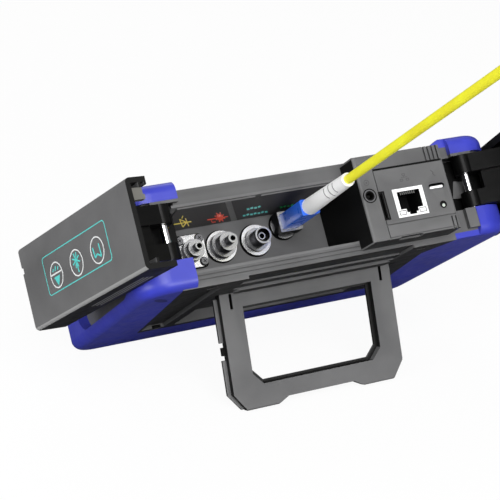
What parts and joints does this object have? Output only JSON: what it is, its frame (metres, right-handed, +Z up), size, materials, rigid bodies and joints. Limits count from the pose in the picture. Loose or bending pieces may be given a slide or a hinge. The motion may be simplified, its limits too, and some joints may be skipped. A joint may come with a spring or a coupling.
{
  "type": "optical time domain reflectometer",
  "caption": "Handheld fibre tester leaning on its fold-out stand, with swinging, sliding port covers stowed at its sides, a port bay, a socket block and a plugged-in patch lead",
  "frame": {"origin": "middle of the ground area under the leaning unit, without its lead", "axes": "+X across the unit to the right as seen from its ports, +Y from the ports towards the far edge that stands on the ground, +Z up"},
  "size_m": [0.2408, 0.3736, 0.2191],
  "materials": {
    "dark_grey_plastic": "fine grain",
    "black_plastic": "fine grain",
    "grey_plastic": "smooth",
    "key_rubber": "smooth",
    "black_rubber": "smooth",
    "blue_rubber": "satin",
    "black_glass": "gloss",
    "steel": "brushed",
    "chrome": "polished",
    "green_board": "solder mask",
    "green_plastic": "smooth",
    "blue_plastic": "smooth",
    "white_plastic": "smooth",
    "yellow_jacket": "smooth",
    "label": "printed",
    "lamp": "translucent"
  },
  "bodies": {
    "unit": {"front_housing": "dark_grey_plastic", "rear_housing": "dark_grey_plastic", "housing_seal": "black_rubber", "bumper": "blue_rubber", "display_glass": "black_glass", "display_module": "steel", "main_board": "green_board", "optical_module": "steel", "battery_pack": "black_plastic", "battery_cover": "dark_grey_plastic", "port_bay": "dark_grey_plastic", "bay_ledge": "dark_grey_plastic", "bay_floor": "dark_grey_plastic", "bay_end_wall": "dark_grey_plastic", "label_strips": "label", "opm_flange": "chrome", "opm_screws": "chrome", "opm_tube": "chrome", "vfl_port": "chrome", "event_port": "chrome", "test_port": "green_plastic", "io_block": "dark_grey_plastic", "network_jack": "black_plastic", "network_lamps": "lamp", "usb_socket": "steel", "card_reader": "black_plastic", "dc_jack": "black_plastic", "charge_lamp": "lamp", "left_hinge_pin": "chrome", "right_hinge_pin": "chrome", "strap_posts": "steel", "rear_screws": "steel", "stand_pins": "steel", "lead_plug": "blue_plastic", "lead_boot": "white_plastic", "lead_cable": "yellow_jacket", "lead_coil": "yellow_jacket", "lead_tail": "yellow_jacket", "lead_far_plug": "blue_plastic"},
    "left_carriage": {"left_carriage": "black_plastic"},
    "left_cover": {"left_cover": "dark_grey_plastic", "left_cover_clip": "grey_plastic"},
    "right_carriage": {"right_carriage": "black_plastic"},
    "right_cover": {"right_cover": "dark_grey_plastic", "right_cover_clip": "grey_plastic"},
    "stand": {"stand": "dark_grey_plastic", "stand_clip": "black_plastic"},
    "power_key": {"power_key": "key_rubber"},
    "test_key": {"test_key": "key_rubber"},
    "menu_key": {"menu_key": "key_rubber"},
    "back_key": {"back_key": "key_rubber"}
  },
  "joints": [
    {"name": "left_cover_hinge", "type": "hinge", "parent": "unit", "child": "left_carriage", "pos_m": [-0.07429, -0.03973, 0.09305], "axis": [0, 0.5795, 0.8149], "range_deg": [0, 78.6]},
    {"name": "left_cover_slide", "type": "slide", "parent": "left_carriage", "child": "left_cover", "axis": [-0.1977, 0.7989, -0.5681], "range_m": [-0.063, 0]},
    {"name": "right_cover_hinge", "type": "hinge", "parent": "unit", "child": "right_carriage", "pos_m": [0.08171, -0.03973, 0.09305], "axis": [0, -0.5795, -0.8149], "range_deg": [0, 81]},
    {"name": "right_cover_slide", "type": "slide", "parent": "right_carriage", "child": "right_cover", "axis": [0.1564, 0.8049, -0.5724], "range_m": [-0.035, 0]},
    {"name": "stand_hinge", "type": "hinge", "parent": "unit", "child": "stand", "pos_m": [0.00371, -0.02315, 0.05425], "axis": [1, 0, 0], "range_deg": [0, 75.6]},
    {"name": "power_key_press", "type": "slide", "parent": "unit", "child": "power_key", "axis": [0, -0.5795, -0.8149], "range_m": [0, 0.0008]},
    {"name": "test_key_press", "type": "slide", "parent": "unit", "child": "test_key", "axis": [0, -0.5795, -0.8149], "range_m": [0, 0.0008]},
    {"name": "menu_key_press", "type": "slide", "parent": "unit", "child": "menu_key", "axis": [0, -0.5795, -0.8149], "range_m": [0, 0.0008]},
    {"name": "back_key_press", "type": "slide", "parent": "unit", "child": "back_key", "axis": [0, -0.5795, -0.8149], "range_m": [0, 0.0008]}
  ]
}
